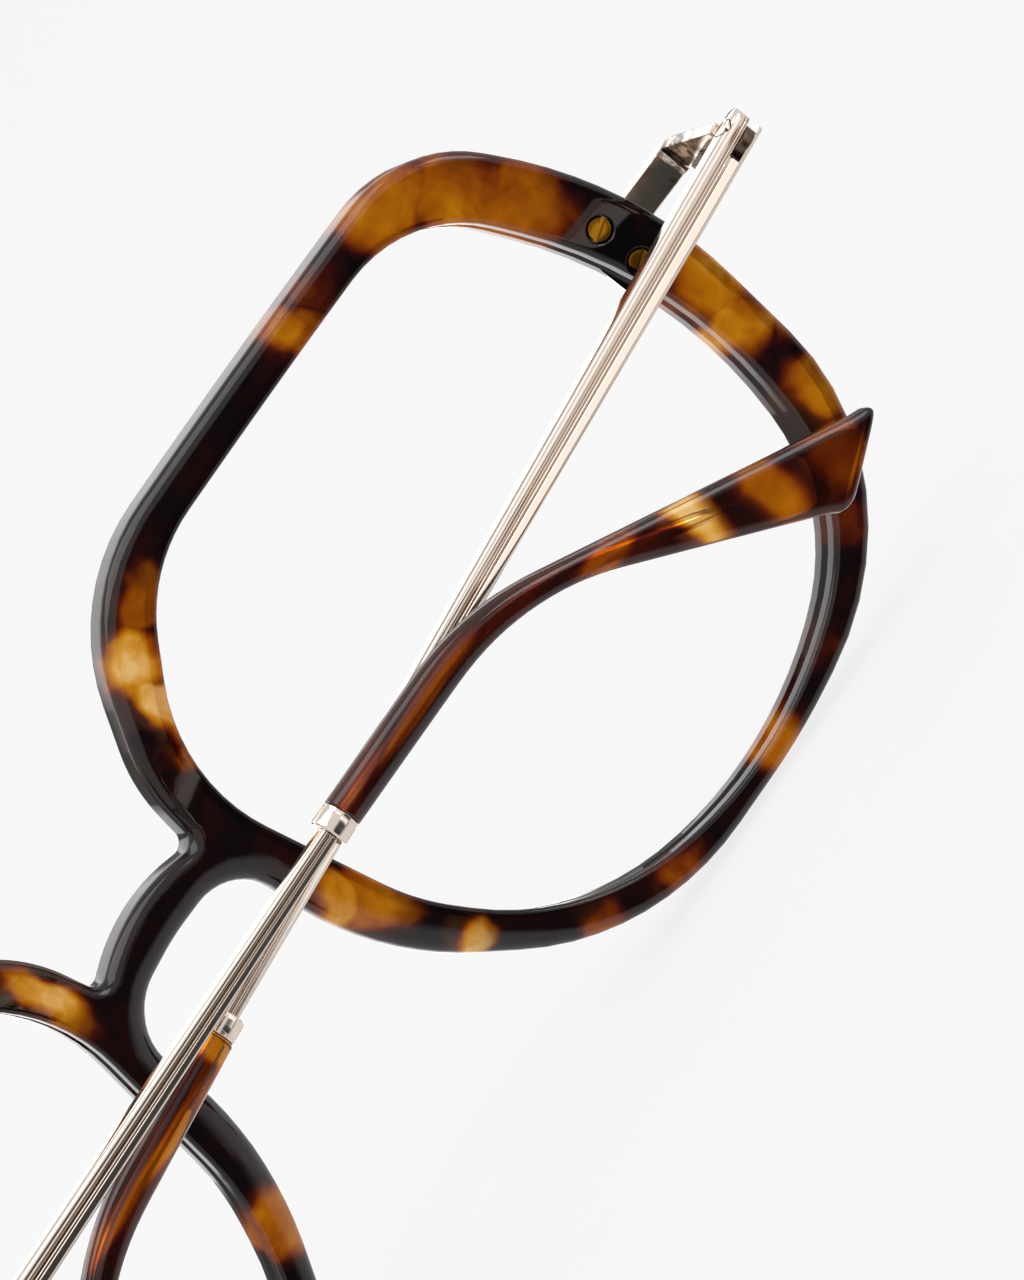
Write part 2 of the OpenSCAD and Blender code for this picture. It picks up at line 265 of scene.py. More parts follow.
def tortoise(name, patches, ground, warp_mm, grain, clarity):
    """Tortoiseshell acetate, cut from a poured sheet and tumbled to a gloss: clear amber clouds that turn red at
    their edges, in near-black brown. patches are (x, z, reach x, reach z, clearness) in millimetres, ground is the
    clearness between them, grain stretches the clouds along X, and clarity is how much light passes."""
    mat, tree, shader = new_material(name)
    where = node(tree, "ShaderNodeTexCoord").outputs["Object"]
    in_mm = node(tree, "ShaderNodeVectorMath", {"operation": "SCALE"}, {0: where, "Scale": 1 / MM}).outputs[0]
    flow = node(tree, "ShaderNodeVectorMath", {"operation": "MULTIPLY"},
                {0: in_mm, 1: (1 / grain, 0.5, 1.0)}).outputs[0]
    drift = node(tree, "ShaderNodeTexNoise", {}, {"Vector": flow, "Scale": 0.16, "Detail": 2.5, "Roughness": 0.5})
    centred = node(tree, "ShaderNodeVectorMath", {"operation": "SUBTRACT"},
                   {0: drift.outputs["Color"], 1: (0.5, 0.5, 0.5)}).outputs[0]
    swirl = node(tree, "ShaderNodeVectorMath", {"operation": "SCALE"}, {0: centred, "Scale": warp_mm}).outputs[0]
    warped = node(tree, "ShaderNodeVectorMath", {"operation": "ADD"}, {0: in_mm, 1: swirl}).outputs[0]
    clear = None
    for x, z, rx, rz, amount in patches:
        offset = node(tree, "ShaderNodeVectorMath", {"operation": "SUBTRACT"},
                      {0: warped, 1: (x, 0, z)}).outputs[0]
        squeezed = node(tree, "ShaderNodeVectorMath", {"operation": "MULTIPLY"},
                        {0: offset, 1: (1 / rx, 0.0, 1 / rz)}).outputs[0]
        away = node(tree, "ShaderNodeVectorMath", {"operation": "LENGTH"}, {0: squeezed}).outputs["Value"]
        cover = node(tree, "ShaderNodeMapRange", {"interpolation_type": "SMOOTHSTEP"},
                     {"Value": away, "From Min": 1.3, "From Max": 0.55, "To Min": 0.0, "To Max": amount}).outputs[0]
        clear = cover if clear is None else node(tree, "ShaderNodeMath", {"operation": "MAXIMUM"},
                                                 {0: clear, 1: cover}).outputs[0]
    streaks = node(tree, "ShaderNodeVectorMath", {"operation": "MULTIPLY"}, {0: warped, 1: (1 / grain, 1.0, 1.0)})
    clouds = node(tree, "ShaderNodeTexNoise", {},
                  {"Vector": streaks.outputs[0], "Scale": 0.22, "Detail": 3.0, "Roughness": 0.55})
    depth = node(tree, "ShaderNodeMapRange", {},
                 {"Value": clouds.outputs[0], "From Min": 0.3, "From Max": 0.7,
                  "To Min": ground - 0.16, "To Max": ground + 0.18})
    total = node(tree, "ShaderNodeMath", {"operation": "ADD", "use_clamp": True},
                 {0: clear, 1: depth.outputs[0]})
    tree.links.new(ramp(tree, total.outputs[0], TORTOISE), shader.inputs["Base Color"])
    shader.inputs["Roughness"].default_value = 0.05
    shader.inputs["IOR"].default_value = 1.49
    shader.inputs["Specular IOR Level"].default_value = 0.4
    shader.inputs["Transmission Weight"].default_value = clarity
    return mat


def plated(name, tones, roughness, painted_shade=None):
    """Polished plate over a drawn and tumbled bar: a warm mirror with the faintest haze, and painted shade: a darker
    colour in the grooves, which the piece marks with an attribute. The last argument, when given, is the colour of
    painted shade laid in blotches, and two pairs of places along Y in millimetres between which it comes up from none
    to full."""
    mat, tree, shader = new_material(name)
    where = node(tree, "ShaderNodeTexCoord").outputs["Object"]
    haze = node(tree, "ShaderNodeTexNoise", {}, {"Vector": where, "Scale": 900.0, "Detail": 2.0})
    rough = node(tree, "ShaderNodeMapRange", {},
                 {"Value": haze.outputs[0], "To Min": roughness * 0.7, "To Max": roughness * 1.3})
    warm = node(tree, "ShaderNodeTexNoise", {}, {"Vector": where, "Scale": 120.0})
    tint = node(tree, "ShaderNodeMix", {"data_type": "RGBA"},
                {"Factor": warm.outputs[0], "A": colour(tones[0]), "B": colour(tones[1])})
    finish = tint.outputs["Result"]
    # painted shade: the plate's colour is mixed towards B09C8C wherever the piece's groove attribute marks a groove
    groove_shade = node(tree, "ShaderNodeAttribute", {"attribute_name": "groove"}).outputs["Fac"]
    finish = node(tree, "ShaderNodeMix", {"data_type": "RGBA"},
                  {"Factor": groove_shade, "A": finish, "B": colour("B09C8C")}).outputs["Result"]
    # painted shade: dark blotches over the plate's colour, coming in and fading out along Y
    if painted_shade:
        spots = node(tree, "ShaderNodeTexNoise", {},
                     {"Vector": where, "Scale": 900.0, "Detail": 4.0, "Roughness": 0.6})
        blotch = node(tree, "ShaderNodeMapRange", {"interpolation_type": "SMOOTHSTEP"},
                      {"Value": spots.outputs[0], "From Min": 0.42, "From Max": 0.58, "To Min": 0.0, "To Max": 0.9})
        axes = node(tree, "ShaderNodeSeparateXYZ", {}, {0: where})
        share = blotch.outputs[0]
        for none, full in painted_shade[1:]:
            fade = node(tree, "ShaderNodeMapRange", {"interpolation_type": "SMOOTHSTEP"},
                        {"Value": axes.outputs["Y"], "From Min": none * MM, "From Max": full * MM})
            share = node(tree, "ShaderNodeMath", {"operation": "MULTIPLY"},
                         {0: share, 1: fade.outputs[0]}).outputs[0]
        finish = node(tree, "ShaderNodeMix", {"data_type": "RGBA"},
                      {"Factor": share, "A": finish, "B": colour(painted_shade[0])}).outputs["Result"]
    tree.links.new(finish, shader.inputs["Base Color"])
    tree.links.new(rough.outputs[0], shader.inputs["Roughness"])
    shader.inputs["Metallic"].default_value = 1.0
    return mat


# the light clouds seen on the front and on the tips: x, z, reach along x, reach along z, clearness
FRONT_CLOUDS = [
    (-57.5, 18.0, 4.5, 3.4, 0.64), (-61.2, 14.0, 4.0, 4.4, 0.6),
    (-63.6, 8.6, 4.6, 5.0, 0.54), (-59.6, 11.0, 2.6, 3.6, 0.66),
    (-69.4, -7.6, 4.2, 4.6, 0.66), (-67.6, -12.0, 3.0, 3.0, 0.76), (-70.6, -14.5, 2.6, 3.2, 0.54),
    (-68.4, -21.4, 3.4, 3.6, 0.62), (-65.6, -26.0, 4.0, 3.0, 0.5), (-60.0, -29.6, 3.0, 2.6, 0.3),
    (-43.2, -36.6, 3.2, 2.4, 0.6), (-51.0, -33.6, 3.0, 2.4, 0.24), (-29.0, -36.6, 3.2, 2.6, 0.36),
    (-22.0, -32.2, 2.6, 2.4, 0.46), (-14.9, -24.3, 2.2, 2.4, 0.96), (-12.0, -15.2, 2.8, 4.2, 0.66),
    (-10.2, -12.6, 1.8, 2.8, 0.86), (-16.4, 12.8, 2.8, 3.4, 0.84),
    (-14.9, 8.6, 2.0, 3.2, 0.96), (-13.4, 5.4, 2.0, 2.6, 0.6),
    (-19.6, 15.4, 2.4, 2.2, 0.5), (-45.2, 17.8, 2.4, 2.6, 0.62), (-49.5, 18.6, 3.0, 2.4, 0.24),
    (10.8, 4.4, 2.2, 4.6, 0.86), (14.8, 13.0, 3.0, 3.4, 0.6), (14.4, -22.4, 2.8, 3.6, 0.6),
    (33.0, 18.6, 5.5, 2.8, 0.5), (58.0, 17.0, 6.0, 4.4, 0.64), (68.0, 6.0, 4.0, 5.0, 0.5),
    (68.5, -14.0, 4.0, 6.0, 0.66), (60.5, -32.0, 5.0, 3.6, 0.6), (38.0, -38.0, 5.0, 3.0, 0.5),
]
TIP_CLOUDS = [
    (-12.6, 0.3, 3.4, 0.6, 0.2), (-20.0, -0.5, 7.0, 0.8, 0.42), (-38.5, -6.6, 4.5, 1.5, 0.34),
    (-45.2, -10.4, 1.7, 5.4, 0.8), (-51.0, -14.8, 2.0, 4.4, 0.46), (-56.8, -17.4, 3.0, 4.0, 0.34),
    (10.4, -2.8, 1.4, 3.0, 0.5), (17.0, -3.6, 7.0, 0.8, 0.38), (27.0, -3.2, 8.0, 0.9, 0.34),
    (40.0, -11.0, 4.0, 2.4, 0.46), (54.0, -17.0, 4.0, 3.4, 0.4),
]
champagne = plated("champagne_plated_steel", ("F2E4D8", "EADACC"), 0.12)
# painted shade: dark brown blotches on the strap's middle, between the front and the hinge
shaded_strap_plate = plated(
    "champagne_plated_strap", ("EADACD", "E2D0C1"), 0.16, ("3A2A20", (12.2, 13.4), (20.5, 17.5)),
)
# painted shade: the knuckle leaf gets a dark brown plate so that the bar's slot, where it sits, reads dark
shade_dark_leaf_steel = plated("hinge_steel_painted_shade", ("7A6658", "4A382E"), 0.3)
brass = plated("turned_brass", ("B48624", "94681A"), 0.24)
acetate = tortoise("tortoiseshell_acetate_front", FRONT_CLOUDS, 0.02, 6.0, 1.0, 0.65)
tip_acetate = tortoise("tortoiseshell_acetate_tips", TIP_CLOUDS, 0.2, 2.4, 3.0, 0.85)

# ---- acetate front, drawn flat and then laid on its cylinder ----


def flat_spot(path, normals, inward):
    def at(i, inset, depth):
        p = path[i] + normals[i] * inward * inset
        return Vector((p.x, depth, p.y))
    return at


def nose_share(p):
    """How far a point of the outline belongs to the nose sides and the underside of the bridge, 0 to 1."""
    if abs(p.x) > 24 or (p.y > -1 and abs(p.x) > 5.5) or p.y > 0:
        return 0.0
    return min(1.0, max(0.0, (p.y + 35) / 14)) * min(1.0, 0.55 + max(0.0, -p.y - 2.6) / 9)


def smoothed(values, rounds):
    for _ in range(rounds):
        values = [
            (values[i - 1] + 2 * v + values[(i + 1) % len(values)]) / 4 for i, v in enumerate(values)
        ]
    return values


def outline_rings(path):
    """Small round at the front, wall, and the wearer's side eased: a wide bevel beside the nose."""
    at = flat_spot(path, outward(path), -1)
    share = smoothed([nose_share(p) for p in path], 6)
    rings = [lambda i, s=s: at(i, s[0], s[1]) for s in quarter(FRONT_ROUND, FRONT_ROUND, 6)]
    for t in (math.pi / 2 * k / 8 for k in range(9)):
        rings.append(lambda i, t=t: at(
            i,
            (BACK_ROUND_IN + NOSE_BEVEL_IN * share[i]) * (1 - math.cos(t)),
            FRONT_T - (BACK_ROUND_DEEP + NOSE_BEVEL_DEEP * share[i]) * (1 - math.sin(t)),
        ))
    return rings


def opening_rings(path):
    """Small rounds and the lens groove in the wall between them."""
    at = flat_spot(path, outward(path), 1)
    low, high = FRONT_T / 2 - GROOVE_W / 2, FRONT_T / 2 + GROOVE_W / 2
    flat = GROOVE_FLAT / 2
    steps = quarter(OPENING_ROUND, OPENING_ROUND, 3)
    steps += [(0, low), (GROOVE_D, FRONT_T / 2 - flat), (GROOVE_D, FRONT_T / 2 + flat), (0, high)]
    back_steps = quarter(OPENING_BACK_ROUND, OPENING_BACK_ROUND, 4)
    steps += [(inset, FRONT_T - depth) for inset, depth in reversed(back_steps)]
    return [lambda i, s=s: at(i, s[0], s[1]) for s in steps]


def seat_spot(sign, across, up, depth):
    """A place given from the middle of the endpiece's seat, along and up the face and into it."""
    x = SEAT_X + math.cos(SEAT_A) * across - math.sin(SEAT_A) * depth
    return Vector((sign * x, depth, SEAT_Z + up))


bm = bmesh.new()
outer = rounded(BRIDGE_TOP + HALF_RIM + NOSE_TOP + mirrored(HALF_RIM), 10)
front_face, back_face = carry(bm, len(outer), outline_rings(outer))
for sign in (1, -1):
    lens = rounded([(sign * x, z, r) for x, z, r in LENS_EDGE], 10)
    near, far = carry(bm, len(lens), opening_rings(lens))
    front_face += near
    back_face += far
    near, far = carry(bm, 4, [
        lambda i, s=sign, y=y: seat_spot(s, *SEAT_CORNERS[i], y) for y in (0.0, PLATE_T)
    ])
    front_face += near
    bmesh.ops.contextual_create(bm, geom=far)
    for end in (1, -1):
        def sink(grow, depth):
            return lambda i: seat_spot(
                sign,
                (SCREW_HEAD_R + grow) * math.cos(i * math.pi / 16),
                end * SCREW_GAP / 2 + (SCREW_HEAD_R + grow) * math.sin(i * math.pi / 16),
                depth,
            )
        near, far = carry(bm, 32, [
            sink(0.26, FRONT_T), sink(0.17, FRONT_T - 0.06), sink(0.12, FRONT_T - 0.16), sink(0.12, FRONT_T - 0.78),
        ])
        back_face += near
        bmesh.ops.contextual_create(bm, geom=far)
bmesh.ops.triangle_fill(bm, use_beauty=True, use_dissolve=False, edges=front_face)
bmesh.ops.triangle_fill(bm, use_beauty=True, use_dissolve=False, edges=back_face)
slice_along(bm, 0, [x * 2.0 for x in range(-35, 36)])
bmesh.ops.recalc_face_normals(bm, faces=bm.faces[:])
for v in bm.verts:
    v.co.y = WRAP_R - math.sqrt((WRAP_R - v.co.y) ** 2 - v.co.x ** 2)
finished(bm, "acetate_front", "front", acetate, ["front"])

# ---- ear tips ----


def hinge_place(side):
    """From the hinge's own axes, X from the temple's end to the nose and Y out of it, to the object's."""
    s = SIDES[side]
    flip = Matrix.Diagonal((s["sign"], 1, 1, 1))
    tilt = Matrix.Rotation(math.radians(-s["drop"]), 4, "Y")
    turn = Matrix.Rotation(math.radians(180 - s["lay"]), 4, "Z")
    return flip @ Matrix.Translation(HINGE) @ tilt @ turn @ Matrix.Diagonal((1, -1, 1, 1))


TIP_TOP = [Vector((0, 1.58)), Vector((18.7, 1.15)), Vector((52.8, -18.1))]
TIP_UNDER = [Vector((0, -1.58)), Vector((22.5, -2.2)), Vector((44.7, -21.2))]
TIP_TOP_R = 26
TIP_UNDER_R = 24
TIP_CORNER_R = 1.3
TIP_EDGE_R = 0.7
TIP_EDGE_SLIM = 0.985
STATIONS = 46
RING = 40


def tip_rings():
    """Sections of the tip: round at the ferrule, flatter and wider towards the fishtail, and a rounded end."""
    top = evenly([TIP_TOP[0]] + arc(*TIP_TOP, TIP_TOP_R, 12) + [TIP_TOP[2]], STATIONS)
    under = evenly([TIP_UNDER[0]] + arc(*TIP_UNDER, TIP_UNDER_R, 12) + [TIP_UNDER[2]], STATIONS)
    end = ((top[-1] - top[-2]) + (under[-1] - under[-2])).normalized()
    stations = []
    for k in range(STATIONS):
        share = k / (STATIONS - 1)
        thick = TIP_T / 2 * (1 - 0.2 * max(0.0, share - 0.45) / 0.55)
        stations.append((top[k], under[k], thick, 2.15 + 2.2 * share ** 1.5))
    a, b, thick, power = stations[0]
    first = [
        (a.lerp(b, 0.09), b.lerp(a, 0.09), thick * 0.82, power),
        (a.lerp(b, 0.03) + Vector((0.06, 0)), b.lerp(a, 0.03) + Vector((0.06, 0)), thick * 0.94, power),
        (a + Vector((0.2, 0)), b + Vector((0.2, 0)), thick, power),
    ]
    a, b, thick, power = stations[-1]
    stations = first + stations[1:-2]
    for t in (math.pi / 2 * k / 8 for k in range(9)):
        out = end * TIP_CORNER_R * (math.sin(t) - 1)
        pull = TIP_CORNER_R * (1 - math.cos(t)) / (b - a).length
        into_edge = max(0.0, 1 + (math.sin(t) - 1) * TIP_CORNER_R / TIP_EDGE_R)
        slim = math.sqrt(1 - into_edge ** 2 * TIP_EDGE_SLIM)
        stations.append((a.lerp(b, pull) + out, b.lerp(a, pull) + out, thick * slim, power))

    def ring(station):
        up, down, thick, power = station
        mid, half = (up + down) / 2, (up - down) / 2

        def place(i):
            c, s = math.cos(2 * math.pi * i / RING), math.sin(2 * math.pi * i / RING)
            p = mid + half * math.copysign(abs(c) ** (2 / power), c)
            return Vector((BAR_L + p.x, thick * math.copysign(abs(s) ** (2 / power), s), p.y))
        return place
    return [ring(s) for s in stations]


for side in SIDES:
    bm = bmesh.new()
    near, far = carry(bm, RING, tip_rings())
    bmesh.ops.contextual_create(bm, geom=near)
    bmesh.ops.contextual_create(bm, geom=far)
    bmesh.ops.transform(bm, matrix=hinge_place(side), verts=bm.verts)
    bmesh.ops.recalc_face_normals(bm, faces=bm.faces[:])
    finished(bm, side + "_ear_tip", side + "_temple", tip_acetate, [side + "_temple_tip"])

# ---- metal parts ----


def eased(name, source, body, material, width):
    """The CAD solid's shape with its edges broken, as tumbling and polishing leave them."""
    bm = bmesh.new()
    bm.from_mesh(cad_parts[source].data)
    bmesh.ops.scale(bm, vec=(1 / MM, 1 / MM, 1 / MM), verts=bm.verts)
    bmesh.ops.remove_doubles(bm, verts=bm.verts, dist=1e-3)
    bmesh.ops.dissolve_limit(bm, angle_limit=math.radians(1), verts=bm.verts[:], edges=bm.edges[:])
    piece = finished(bm, name, body, material, [source], 180)
    soft = piece.modifiers.new("broken edges", "BEVEL")
    soft.width = width * MM
    soft.segments = 2
    soft.limit_method = "ANGLE"
    soft.angle_limit = math.radians(35)
    piece.modifiers.move(len(piece.modifiers) - 1, 0)
    return piece


BAR_END = 83.3
BAR_H = (2.9, 1.6)
BAR_TAPER_FROM = 8.0
BAR_NOSE_R = 0.8
LEAF_CLEAR_R = 0.95
WIRE_R = 0.6
SLOT_L = 3.9
SLOT_Z = (-0.95, 0.01)
# across the outer face from the upper edge down: share of the height, relief as a share of half the thickness,
# and how deep in a groove the place lies, which darkens the plate's colour there as painted shade
FLUTES = [
    (0.0, 0.3, 0), (0.02, 0.6, 0), (0.05, 0.8, 0), (0.09, 0.92, 0), (0.14, 0.98, 0), (0.19, 1.0, 0), (0.24, 0.98, 0),
    (0.29, 0.92, 0), (0.325, 0.84, 0), (0.34, 0.7, 1), (0.365, 0.7, 1), (0.38, 0.76, 0), (0.4, 0.82, 0),
    (0.42, 0.82, 0), (0.44, 0.76, 0), (0.455, 0.7, 1), (0.475, 0.7, 1), (0.49, 0.8, 0), (0.515, 0.86, 0),
    (0.545, 0.84, 0), (0.56, 0.76, 0), (0.572, 0.7, 1), (0.59, 0.7, 1), (0.602, 0.8, 0), (0.63, 0.87, 0),
    (0.7, 0.9, 0), (0.8, 0.9, 0), (0.88, 0.87, 0), (0.92, 0.8, 0), (0.935, 0.7, 1), (0.955, 0.7, 1), (0.97, 0.6, 0),
    (1.0, 0.3, 0), (1.0, -0.7, 0), (0.97, -0.93, 0), (0.9, -1.0, 0), (0.5, -1.0, 0), (0.1, -1.0, 0),
    (0.03, -0.93, 0), (0.0, -0.7, 0),
]


def bar_ring(s):
    """The fluted section of a temple bar at a distance from the hinge axis."""
    share = min(1.0, max(0.0, (s - BAR_TAPER_FROM) / (BAR_END - BAR_TAPER_FROM)))
    height = BAR_H[0] + (BAR_H[1] - BAR_H[0]) * share
    out, back = 1.0 - 0.2 * share, 1.0 - 0.3 * share
    nose = min(BAR_NOSE_R, s + BAR_BUTT)
    trim = BAR_NOSE_R - math.sqrt(max(0.0, BAR_NOSE_R ** 2 - (BAR_NOSE_R - nose) ** 2))

    def place(i):
        f, y, _ = FLUTES[i]
        z = height * (0.5 - f)
        if nose < 0.3:
            z *= 1 - 0.05 * (1 - nose / 0.3)
        return Vector((s, y * ((out if y > 0 else back) - trim), z))
    return place


def cut(bm, cutters):
    """Cuts each closed cutter mesh out of a closed mesh."""
    target = bpy.data.objects.new("target", bpy.data.meshes.new("target"))
    bm.to_mesh(target.data)
    bm.free()
    bpy.context.scene.collection.objects.link(target)
    tools = []
    for tool_bm in cutters:
        bmesh.ops.recalc_face_normals(tool_bm, faces=tool_bm.faces[:])
        tool = bpy.data.objects.new("tool", bpy.data.meshes.new("tool"))
        tool_bm.to_mesh(tool.data)
        tool_bm.free()
        bpy.context.scene.collection.objects.link(tool)
        bite = target.modifiers.new("bite", "BOOLEAN")
        bite.operation = "DIFFERENCE"
        bite.solver = "EXACT"
        bite.object = tool
        tools.append(tool)
    graph = bpy.context.evaluated_depsgraph_get()
    out = bmesh.new()
    out.from_mesh(target.evaluated_get(graph).data)
    for obj in [target] + tools:
        bpy.data.objects.remove(obj)
    return out


def block(low, high):
    bm = bmesh.new()
    bmesh.ops.create_cube(bm, size=1.0)
    bmesh.ops.scale(bm, vec=high - low, verts=bm.verts)
    bmesh.ops.translate(bm, vec=(low + high) / 2, verts=bm.verts)
    return bm


def round_bar(radius, start, length, axis):
    """A closed cylinder from start, along Z or along Y."""
    bm = bmesh.new()
    bmesh.ops.create_cone(bm, cap_ends=True, segments=32, radius1=radius, radius2=radius, depth=length)
    bmesh.ops.translate(bm, vec=(0, 0, length / 2), verts=bm.verts)
    if axis == "Y":
        bmesh.ops.rotate(bm, cent=(0, 0, 0), matrix=Matrix.Rotation(-math.pi / 2, 3, "X"), verts=bm.verts)
    bmesh.ops.translate(bm, vec=start, verts=bm.verts)
    return bm


def fluted_bar(side):
    bm = bmesh.new()
    places = [-2.0, -1.97, -1.9, -1.8, -1.65, -1.45, -1.2, 0, 4]
    places += [BAR_TAPER_FROM + (BAR_END - BAR_TAPER_FROM) * k / 20 for k in range(21)]
    near, far = carry(bm, len(FLUTES), [bar_ring(s) for s in places])
    bmesh.ops.contextual_create(bm, geom=near)
    bmesh.ops.contextual_create(bm, geom=far)
    place = bm.verts.layers.int["place"]
    # painted shade: this attribute darkens the plate's colour in the flutes' grooves
    groove = bm.verts.layers.float.new("groove")
    for v in bm.verts:
        v[groove] = FLUTES[v[place]][2]
    bmesh.ops.recalc_face_normals(bm, faces=bm.faces[:])
    bm = cut(bm, [
        block(Vector((-3, -3, SLOT_Z[0])), Vector((SLOT_L - BAR_BUTT, 3, SLOT_Z[1]))),
        round_bar(LEAF_CLEAR_R, (0, 0, 1.05), 3, "Z"),
    ])
    return bm


def core_wire(bm):
    """Adds the wire that the tip is shot onto: out of the ferrule, bent with the tip, ending in a drawn point."""
    middle = [a.lerp(b, 0.5) for a, b in zip(
        evenly([TIP_TOP[0]] + arc(*TIP_TOP, TIP_TOP_R, 12) + [TIP_TOP[2]], 60),
        evenly([TIP_UNDER[0]] + arc(*TIP_UNDER, TIP_UNDER_R, 12) + [TIP_UNDER[2]], 60),
    )][:47]
    tail = len(middle) - 1

    def ring(k):
        here = middle[k]
        along = (middle[min(k + 1, tail)] - middle[max(k - 1, 0)]).normalized()
        across = Vector((-along.y, along.x))
        r = WIRE_R * min(1.0, 0.16 + (tail - k) * 0.24)

        def place(i):
            c, s = math.cos(i * math.pi / 8), math.sin(i * math.pi / 8)
            p = here + across * r * c
            return Vector((BAR_L + p.x, r * s, p.y))
        return place
    near, far = carry(bm, 16, [ring(k) for k in range(tail + 1)])
    bmesh.ops.contextual_create(bm, geom=near)
    bmesh.ops.contextual_create(bm, geom=far)


# radius and distance along the ferrule, from the bore at the bar's end to the bore at the tip
FERRULE_TURNING = [
    (0.74, 0.12), (0.95, 0.06), (1.2, 0.0), (1.4, 0.0), (1.47, 0.02), (1.56, 0.1), (1.6, 0.2), (1.6, 0.5), (1.6, 1.0),
    (1.6, 1.45), (1.585, 1.53), (1.52, 1.56), (1.52, 1.62), (1.56, 1.65), (1.56, 1.84), (1.53, 1.88), (1.45, 1.9),
    (0.74, 1.9),
]


def turned(bm, profile, start, segments):
    """A ring turned on a lathe about the X axis, from its profile of radius and distance."""
    def ring(r, along):
        return lambda i: Vector((
            start + along, r * math.cos(2 * math.pi * i / segments), r * math.sin(2 * math.pi * i / segments),
        ))
    near, far = carry(bm, segments, [ring(r, d) for r, d in profile])
    bmesh.ops.bridge_loops(bm, edges=near + far)


def at_seat(sign):
    """From the endpiece's seat, across, into and up it, to the object's axes."""
    base = Matrix.Translation((SEAT_X, WRAP_R * (1 - math.cos(SEAT_A)), SEAT_Z))
    return Matrix.Diagonal((sign, 1, 1, 1)) @ base @ Matrix.Rotation(SEAT_A, 4, "Z")


# radius and depth from the front face: the point, the shank, and the cheese head with its edge broken
SCREW_TURNING = [
    (0.35, 0.2), (0.5, 0.26), (0.55, 0.4), (0.55, 3.25), (1.0, 3.25), (1.05, 3.3), (1.05, 3.68), (1.02, 3.76),
    (0.96, 3.82), (0.86, 3.84), (0.5, 3.85),
]


def rim_screw(sign, end, turn):
    """A slotted screw from the wearer's side, its slot turned by so many degrees from across."""
    bm = bmesh.new()
    near, far = carry(bm, 40, [
        lambda i, r=r, d=d: Vector((r * math.cos(i * math.pi / 20), d, r * math.sin(i * math.pi / 20)))
        for r, d in SCREW_TURNING
    ])
    bmesh.ops.contextual_create(bm, geom=near)
    bmesh.ops.contextual_create(bm, geom=far)
    bmesh.ops.recalc_face_normals(bm, faces=bm.faces[:])
    slot = block(Vector((-2, 3.55, -0.2)), Vector((2, 4.5, 0.2)))
    bmesh.ops.rotate(slot, cent=(0, 0, 0), matrix=Matrix.Rotation(-math.radians(turn), 3, "Y"), verts=slot.verts)
    bm = cut(bm, [slot])
    bmesh.ops.translate(bm, vec=(0, 0, end * SCREW_GAP / 2), verts=bm.verts)
    bmesh.ops.transform(bm, matrix=at_seat(sign), verts=bm.verts)
    return bm


def joined(parts):
    """One bmesh from several."""
    whole = bmesh.new()
    for part in parts:
        mesh = bpy.data.meshes.new("part")
        part.to_mesh(mesh)
        part.free()
        whole.from_mesh(mesh)
        bpy.data.meshes.remove(mesh)
    bmesh.ops.recalc_face_normals(whole, faces=whole.faces[:])
    return whole


STRAP_T = 1.2
STRAP_H = 3
STRAP_OUT = HINGE.x + BAR_T / 2
STRAP_END = HINGE.y - BAR_BUTT - SWING_GAP
PLATE_HOLE_R = 0.57
PLATE = [(-2.3, -3.8, 0.3), (2.5, -3.8, 0.3), (2.5, 3.8, 0.3), (-2.3, 3.8, 0.3)]


def softened_slab(outline, place, low, high, edge):
    """A closed outline carried from low to high, its edges at both ends rounded by edge."""
    normals = outward(outline)
    steps = [(inset, low + rise) for inset, rise in quarter(edge, edge, 4)]
    steps += [(inset, high - rise) for inset, rise in reversed(quarter(edge, edge, 4))]
    bm = bmesh.new()
    near, far = carry(bm, len(outline), [
        lambda i, inset=inset, level=level: place(outline[i] - normals[i] * inset, level) for inset, level in steps
    ])
    bmesh.ops.contextual_create(bm, geom=near)
    bmesh.ops.contextual_create(bm, geom=far)
    bmesh.ops.recalc_face_normals(bm, faces=bm.faces[:])
    return bm


def endpiece(sign):
    """The inlaid plate with its two screw holes, and the strap bent back from it to the hinge."""
    def beside_seat(along, into):
        p = at_seat(1) @ Vector((along, into, 0))
        return p.x, p.y
    neck = beside_seat(0, 0)[1] + (STRAP_OUT - SEAT_X) * math.tan(SEAT_A)
    inner_neck = neck + STRAP_T * (1 - math.sin(SEAT_A)) / math.cos(SEAT_A)
    plan = rounded([
        (*beside_seat(1, 0), 0.2), (STRAP_OUT, neck, 2.2), (STRAP_OUT, STRAP_END, 0.2),
        (STRAP_OUT - STRAP_T, STRAP_END, 0.2), (STRAP_OUT - STRAP_T, inner_neck, 1.0),
        (*beside_seat(1, STRAP_T), 0.2),
    ], 8)
    strap = softened_slab(
        plan, lambda p, z: Vector((sign * p.x, p.y, HINGE.z + z)), -STRAP_H / 2, STRAP_H / 2, 0.16,
    )
    plate = softened_slab(rounded(PLATE, 4), lambda p, y: Vector((p.x, y, p.y)), 0, PLATE_T, 0.1)
    plate = cut(plate, [round_bar(PLATE_HOLE_R, (0, -1, end * SCREW_GAP / 2), 4, "Y") for end in (1, -1)])
    bmesh.ops.transform(plate, matrix=at_seat(sign), verts=plate.verts)
    return joined([strap, plate])


